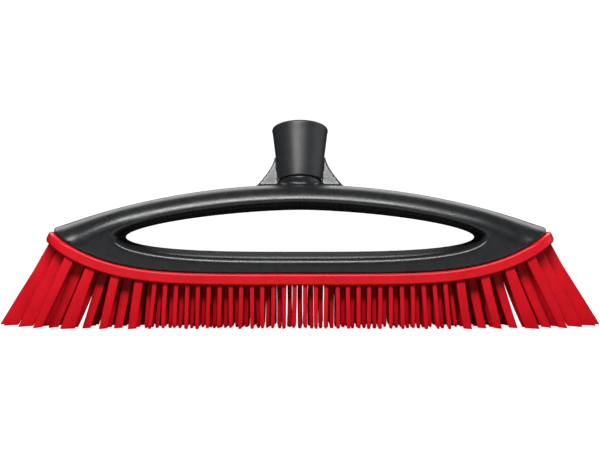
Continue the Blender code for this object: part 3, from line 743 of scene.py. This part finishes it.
def slat_look(chance):
    """How one wide slat differs from the next; see bristle."""
    return {
        "stray_x": chance.uniform(-0.3, 0.3) * MM,
        "stray_y": chance.uniform(-0.3, 0.3) * MM,
        "bow": chance.uniform(-0.35, 0.35) * MM,
        "short": max(0.0, chance.uniform(-0.3, 0.3)) * MM,
        "point": 0.05,
        "point_length": 1.2 * MM,
        "slope": chance.uniform(0.3, 0.8) * MM,
    }


def make_row(row):
    """A comb of narrow fingers along the middle with wide slats at both ends."""
    y = ROW_DEPTHS[row]
    chance = random.Random(row + 1)
    comb = rib(row)
    for u in narrow_places(row):
        join(comb, bristle(u, y, FINGER_WIDTH, FINGER_TIP, finger_look(chance)))
    for index, (u, tip_width) in enumerate(SLATS[row]):
        splay = SPLAY[row] if index == len(SLATS[row]) - 1 else 0.0
        bowed = BOWED[row] if index == BOWED_SLAT else 0.0
        for side in (-1, 1):
            look = slat_look(chance)
            look["stray_x"] += side * splay
            look["bow"] -= side * bowed
            look["short"] += SHORT_RATE * max(0.0, u - SHORT_FROM)
            join(comb, bristle(side * u, y, SLAT_WIDTH, tip_width, look))
    return mesh_object(f"bristle_comb_{row + 1}", comb, BRISTLE_SHARP)


# ---------------------------------------------------------------- materials


def new_material(name):
    """A node material, with its tree, its shader and its object coordinates."""
    made = bpy.data.materials.new(name)
    made.use_nodes = True
    tree = made.node_tree
    shader = tree.nodes["Principled BSDF"]
    place_node = tree.nodes.new("ShaderNodeTexCoord")
    return made, tree, shader, place_node.outputs["Object"]


def noise(tree, where, scale, detail=3.0, roughness=0.55):
    """Noise values about 0.5; scale is in repeats per metre."""
    node = tree.nodes.new("ShaderNodeTexNoise")
    node.inputs["Scale"].default_value = scale
    node.inputs["Detail"].default_value = detail
    node.inputs["Roughness"].default_value = roughness
    tree.links.new(where, node.inputs["Vector"])
    return node.outputs["Fac"]


def ramp(tree, factor, stops):
    """Colours over a factor; stops are (position, colour) in rising order."""
    node = tree.nodes.new("ShaderNodeValToRGB")
    band = node.color_ramp
    band.elements[0].position, band.elements[0].color = stops[0]
    band.elements[1].position, band.elements[1].color = stops[-1]
    for position, colour in stops[1:-1]:
        band.elements.new(position).color = colour
    tree.links.new(factor, node.inputs["Fac"])
    return node.outputs["Color"]


def spread_value(tree, factor, low, high):
    """A noise value mapped to run from low to high."""
    node = tree.nodes.new("ShaderNodeMapRange")
    node.inputs["From Min"].default_value = NOISE_LOW
    node.inputs["From Max"].default_value = NOISE_HIGH
    node.inputs["To Min"].default_value = low
    node.inputs["To Max"].default_value = high
    tree.links.new(factor, node.inputs["Value"])
    return node.outputs["Result"]


def feed(tree, socket, value):
    """Links another node's output to a socket, or sets the socket to a constant."""
    if hasattr(value, "node"):
        tree.links.new(value, socket)
    else:
        socket.default_value = value


def mix(tree, factor, first, second, kind="MIX"):
    """A blend of two colours; each argument is a constant or another node's output."""
    node = tree.nodes.new("ShaderNodeMix")
    node.data_type = "RGBA"
    node.blend_type = kind
    feed(tree, node.inputs[0], factor)
    feed(tree, node.inputs[6], first)
    feed(tree, node.inputs[7], second)
    return node.outputs[2]


def math_node(tree, operation, first, second=0.0):
    """A sum, product or other operation; each operand is a constant or another node's output."""
    node = tree.nodes.new("ShaderNodeMath")
    node.operation = operation
    feed(tree, node.inputs[0], first)
    feed(tree, node.inputs[1], second)
    return node.outputs[0]


def bump(tree, height, strength, distance, under=None):
    """A normal disturbed by a height, on top of the normal under it."""
    node = tree.nodes.new("ShaderNodeBump")
    node.inputs["Strength"].default_value = strength
    node.inputs["Distance"].default_value = distance
    tree.links.new(height, node.inputs["Height"])
    if under is not None:
        tree.links.new(under, node.inputs["Normal"])
    return node.outputs["Normal"]


def soft_step(tree, value, low, high):
    """0 below low and 1 above high, eased between; low may be the larger."""
    node = tree.nodes.new("ShaderNodeMapRange")
    node.interpolation_type = "SMOOTHSTEP"
    node.inputs["From Min"].default_value = min(low, high)
    node.inputs["From Max"].default_value = max(low, high)
    node.inputs["To Min"].default_value = 0.0 if low < high else 1.0
    node.inputs["To Max"].default_value = 1.0 if low < high else 0.0
    tree.links.new(value, node.inputs["Value"])
    return node.outputs["Result"]


def edge_mask(tree, low, high):
    """Near 1 on convex edges of a dense mesh."""
    geometry = tree.nodes.new("ShaderNodeNewGeometry")
    return ramp(tree, geometry.outputs["Pointiness"], [(low, BLACK), (high, WHITE)])


def dull_hole_wall(tree, shader):
    """Dims the highlights of the hand hole's wall, as the body's hole_wall attribute marks it."""
    mask = tree.nodes.new("ShaderNodeAttribute")
    mask.attribute_name = "hole_wall"
    gloss = tree.nodes.new("ShaderNodeMapRange")
    gloss.inputs["To Min"].default_value = PLASTIC_GLOSS
    gloss.inputs["To Max"].default_value = HOLE_WALL_GLOSS
    tree.links.new(soft_step(tree, mask.outputs["Fac"], 0.0, 1.0), gloss.inputs["Value"])
    tree.links.new(gloss.outputs["Result"], shader.inputs["Specular IOR Level"])


def black_plastic(name, grain, roughness, edges=0.0, wall=False):
    """Spark-eroded polypropylene: mottled near-black, with a fine pitted grain.

    edges is how far the convex edges are painted pale as a highlight. With wall, the hand hole's wall is
    dulled.
    """
    made, tree, shader, where = new_material(name)
    cloud = noise(tree, where, scale=260, detail=4)
    colour = ramp(tree, cloud, [(0.35, PLASTIC_DARK), (0.65, PLASTIC_LIGHT)])
    speck = noise(tree, where, scale=1500, detail=2, roughness=0.7)
    dust = ramp(tree, speck, [(0.62, BLACK), (0.78, (0.25, 0.25, 0.25, 1))])
    colour = mix(tree, dust, colour, PLASTIC_DUST)
    if edges:
        # Painted highlight: convex edges are painted paler, standing in for the light caught along them.
        edge_highlight = math_node(tree, "MULTIPLY", edge_mask(tree, 0.52, 0.6), edges)
        colour = mix(tree, edge_highlight, colour, PLASTIC_EDGE_HIGHLIGHT)
    tree.links.new(colour, shader.inputs["Base Color"])
    patch = noise(tree, where, scale=90)
    tree.links.new(spread_value(tree, patch, roughness - 0.04, roughness + 0.05), shader.inputs["Roughness"])
    pits = noise(tree, where, scale=1900, detail=2, roughness=0.65)
    coarse = noise(tree, where, scale=620, roughness=0.6)
    normal = bump(tree, coarse, strength=0.5 * grain, distance=0.25 * MM)
    normal = bump(tree, pits, strength=grain, distance=0.12 * MM, under=normal)
    tree.links.new(normal, shader.inputs["Normal"])
    shader.inputs["IOR"].default_value = PLASTIC_IOR
    if wall:
        dull_hole_wall(tree, shader)
    return made


def red_rubber(name, reds, roughness, gloss, flow):
    """Thermoplastic rubber: satin red with faint flow marks and a very fine skin texture.

    reds are the deep and the bright red. flow scales the marks along X, Y and Z: a small share
    draws them out along that axis.
    """
    made, tree, shader, where = new_material(name)
    cloud = noise(tree, where, scale=55)
    colour = ramp(tree, cloud, [(NOISE_LOW, reds[0]), (NOISE_HIGH, reds[1])])
    streak = tree.nodes.new("ShaderNodeMapping")
    streak.inputs["Scale"].default_value = flow
    tree.links.new(where, streak.inputs["Vector"])
    lines = noise(tree, streak.outputs["Vector"], scale=160, detail=2)
    tint = ramp(tree, lines, [(0.35, STREAK_DARK), (0.62, WHITE)])
    colour = mix(tree, STREAK_SHARE, colour, tint, "MULTIPLY")
    tree.links.new(colour, shader.inputs["Base Color"])
    tree.links.new(spread_value(tree, cloud, roughness - 0.04, roughness + 0.06), shader.inputs["Roughness"])
    skin = noise(tree, where, scale=1300, detail=2, roughness=0.6)
    normal = bump(tree, lines, strength=0.12, distance=0.2 * MM)
    normal = bump(tree, skin, strength=0.10, distance=0.1 * MM, under=normal)
    tree.links.new(normal, shader.inputs["Normal"])
    shader.inputs["Specular IOR Level"].default_value = gloss
    return made


def zinc_steel(name):
    """Zinc-plated steel: bright, slightly mottled metal."""
    made, tree, shader, where = new_material(name)
    cloud = noise(tree, where, scale=700)
    colour = ramp(tree, cloud, [(NOISE_LOW, ZINC_DARK), (NOISE_HIGH, ZINC_LIGHT)])
    tree.links.new(colour, shader.inputs["Base Color"])
    tree.links.new(spread_value(tree, cloud, 0.28, 0.42), shader.inputs["Roughness"])
    tree.links.new(bump(tree, cloud, strength=0.2, distance=0.05 * MM), shader.inputs["Normal"])
    shader.inputs["Metallic"].default_value = 1.0
    return made


def paint(obj, made):
    """Gives an object one material, in place of any it has."""
    if obj.material_slots:
        for holder in obj.material_slots:
            holder.material = made
    else:
        obj.data.materials.append(made)


# ---------------------------------------------------------------- stage


def make_floor():
    """A plain pale floor: it looks white, with a faint shade under the head. To all but the camera its
    colour is painted light in front of the head and painted shade behind it, so it lights only the front.
    """
    shape = bmesh.new()
    bmesh.ops.create_circle(shape, cap_ends=True, radius=FLOOR_RADIUS, segments=FLOOR_SIDES)
    mesh = bpy.data.meshes.new("studio_floor")
    shape.to_mesh(mesh)
    shape.free()
    floor = bpy.data.objects.new("studio_floor", mesh)
    bpy.context.scene.collection.objects.link(floor)
    made, tree, shader, where = new_material("floor_paper")
    shader.inputs["Base Color"].default_value = FLOOR_GREY
    shader.inputs["Roughness"].default_value = 1.0
    shader.inputs["Specular IOR Level"].default_value = 0.0
    shader.inputs["Emission Color"].default_value = WHITE
    shader.inputs["Emission Strength"].default_value = FLOOR_GLOW
    axes = tree.nodes.new("ShaderNodeSeparateXYZ")
    tree.links.new(where, axes.inputs[0])
    # Painted light and shade: pale in front of the head, near black behind it, for all rays but the
    # camera's.
    front = soft_step(tree, axes.outputs["Y"], FLOOR_LIT_FROM, FLOOR_LIT_FULL)
    dim = tree.nodes.new("ShaderNodeBsdfDiffuse")
    tree.links.new(mix(tree, front, FLOOR_DIM, FLOOR_LIT), dim.inputs["Color"])
    path = tree.nodes.new("ShaderNodeLightPath")
    choice = tree.nodes.new("ShaderNodeMixShader")
    tree.links.new(path.outputs["Is Camera Ray"], choice.inputs["Fac"])
    tree.links.new(dim.outputs[0], choice.inputs[1])
    tree.links.new(shader.outputs[0], choice.inputs[2])
    tree.links.new(choice.outputs[0], tree.nodes["Material Output"].inputs["Surface"])
    floor.data.materials.append(made)


def softbox(name, where, width, height, radiance):
    """A rectangular white lamp of even radiance, facing the head."""
    lamp = bpy.data.lights.new(name, "AREA")
    lamp.shape = "RECTANGLE"
    lamp.size = width
    lamp.size_y = height
    lamp.energy = radiance * math.pi * width * height
    made = bpy.data.objects.new(name, lamp)
    bpy.context.scene.collection.objects.link(made)
    made.location = where
    made.rotation_euler = (Vector(LAMP_AIM) - Vector(where)).to_track_quat("-Z", "Y").to_euler()
    return made


def make_world():
    """White to the camera. To all else: a dark room, lit from high behind and from the right."""
    world = bpy.data.worlds.new("studio")
    bpy.context.scene.world = world
    world.use_nodes = True
    tree = world.node_tree
    where = tree.nodes.new("ShaderNodeTexCoord")
    axes = tree.nodes.new("ShaderNodeSeparateXYZ")
    tree.links.new(where.outputs["Generated"], axes.inputs[0])
    behind = soft_step(tree, axes.outputs["Y"], *PANEL_BEHIND)
    above = soft_step(tree, axes.outputs["Z"], *PANEL_ABOVE)
    aside = soft_step(tree, math_node(tree, "ABSOLUTE", axes.outputs["X"]), *PANEL_ASIDE)
    panel = math_node(tree, "MULTIPLY", math_node(tree, "MULTIPLY", behind, aside), above)
    right = soft_step(tree, axes.outputs["X"], *GLOW_RIGHT)
    glow = math_node(tree, "ADD", math_node(tree, "MULTIPLY", panel, PANEL), right)
    strength = math_node(tree, "ADD", glow, AMBIENT)
    room = tree.nodes["Background"]
    room.inputs["Color"].default_value = WHITE
    tree.links.new(strength, room.inputs["Strength"])
    white = tree.nodes.new("ShaderNodeBackground")
    white.inputs["Color"].default_value = WHITE
    white.inputs["Strength"].default_value = BACKDROP
    path = tree.nodes.new("ShaderNodeLightPath")
    blend = tree.nodes.new("ShaderNodeMixShader")
    tree.links.new(path.outputs["Is Camera Ray"], blend.inputs["Fac"])
    tree.links.new(room.outputs[0], blend.inputs[1])
    tree.links.new(white.outputs[0], blend.inputs[2])
    tree.links.new(blend.outputs[0], tree.nodes["World Output"].inputs["Surface"])


def make_lights(socket):
    """A soft key high in front, and a lower strip at the left that lights the socket only."""
    softbox("key", *KEY)
    strip = softbox("front_strip", *FRONT_STRIP)
    lit = bpy.data.collections.new("lit_by_front_strip")
    lit.objects.link(socket)
    strip.light_linking.receiver_collection = lit


def make_camera():
    """Looks straight at the front, level with the middle of the head."""
    lens = bpy.data.cameras.new("camera")
    lens.sensor_width = CAMERA_SENSOR
    lens.lens = CAMERA_LENS
    lens.clip_start = 0.01
    camera = bpy.data.objects.new("camera", lens)
    bpy.context.scene.collection.objects.link(camera)
    camera.location = (0, HEAD_MIDDLE - CAMERA_DISTANCE, CAMERA_HEIGHT)
    camera.rotation_euler = (math.pi / 2, 0, 0)
    bpy.context.scene.camera = camera


# ---------------------------------------------------------------- assembly


def stand_for(piece, node, made):
    """Shows a piece in place of a CAD node, painted with the given material."""
    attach(piece, "root")
    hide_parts(node)
    paint(piece, made)


make_camera()
bpy.context.scene.view_settings.view_transform = "Standard"
make_world()
make_floor()

body_black = black_plastic("body_black", grain=0.2, roughness=0.27, edges=0.3, wall=True)
stand_for(make_body(), "bridge_body", body_black)
socket = make_socket()
make_lights(socket)
socket_black = black_plastic("socket_black", grain=0.25, roughness=0.41)
stand_for(socket, "handle_socket", socket_black)
insert_black = black_plastic("insert_black", grain=0.2, roughness=0.38)
stand_for(make_insert(), "thread_insert", insert_black)
band_red = red_rubber("band_red", BAND_REDS, roughness=0.3, gloss=0.22, flow=(1, 1, 1))
stand_for(make_band(), "bumper_band", band_red)
bristle_red = red_rubber("bristle_red", BRISTLE_REDS, roughness=0.42, gloss=0.16, flow=(1, 1, 0.12))
for index in range(len(ROW_DEPTHS)):
    stand_for(make_row(index), f"bristle_row_{index + 1}", bristle_red)
paint(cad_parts["base_plate"], black_plastic("plate_black", grain=0.3, roughness=0.46))
steel = zinc_steel("zinc_plate")
for node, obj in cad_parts.items():
    if "screw" in node:
        paint(obj, steel)
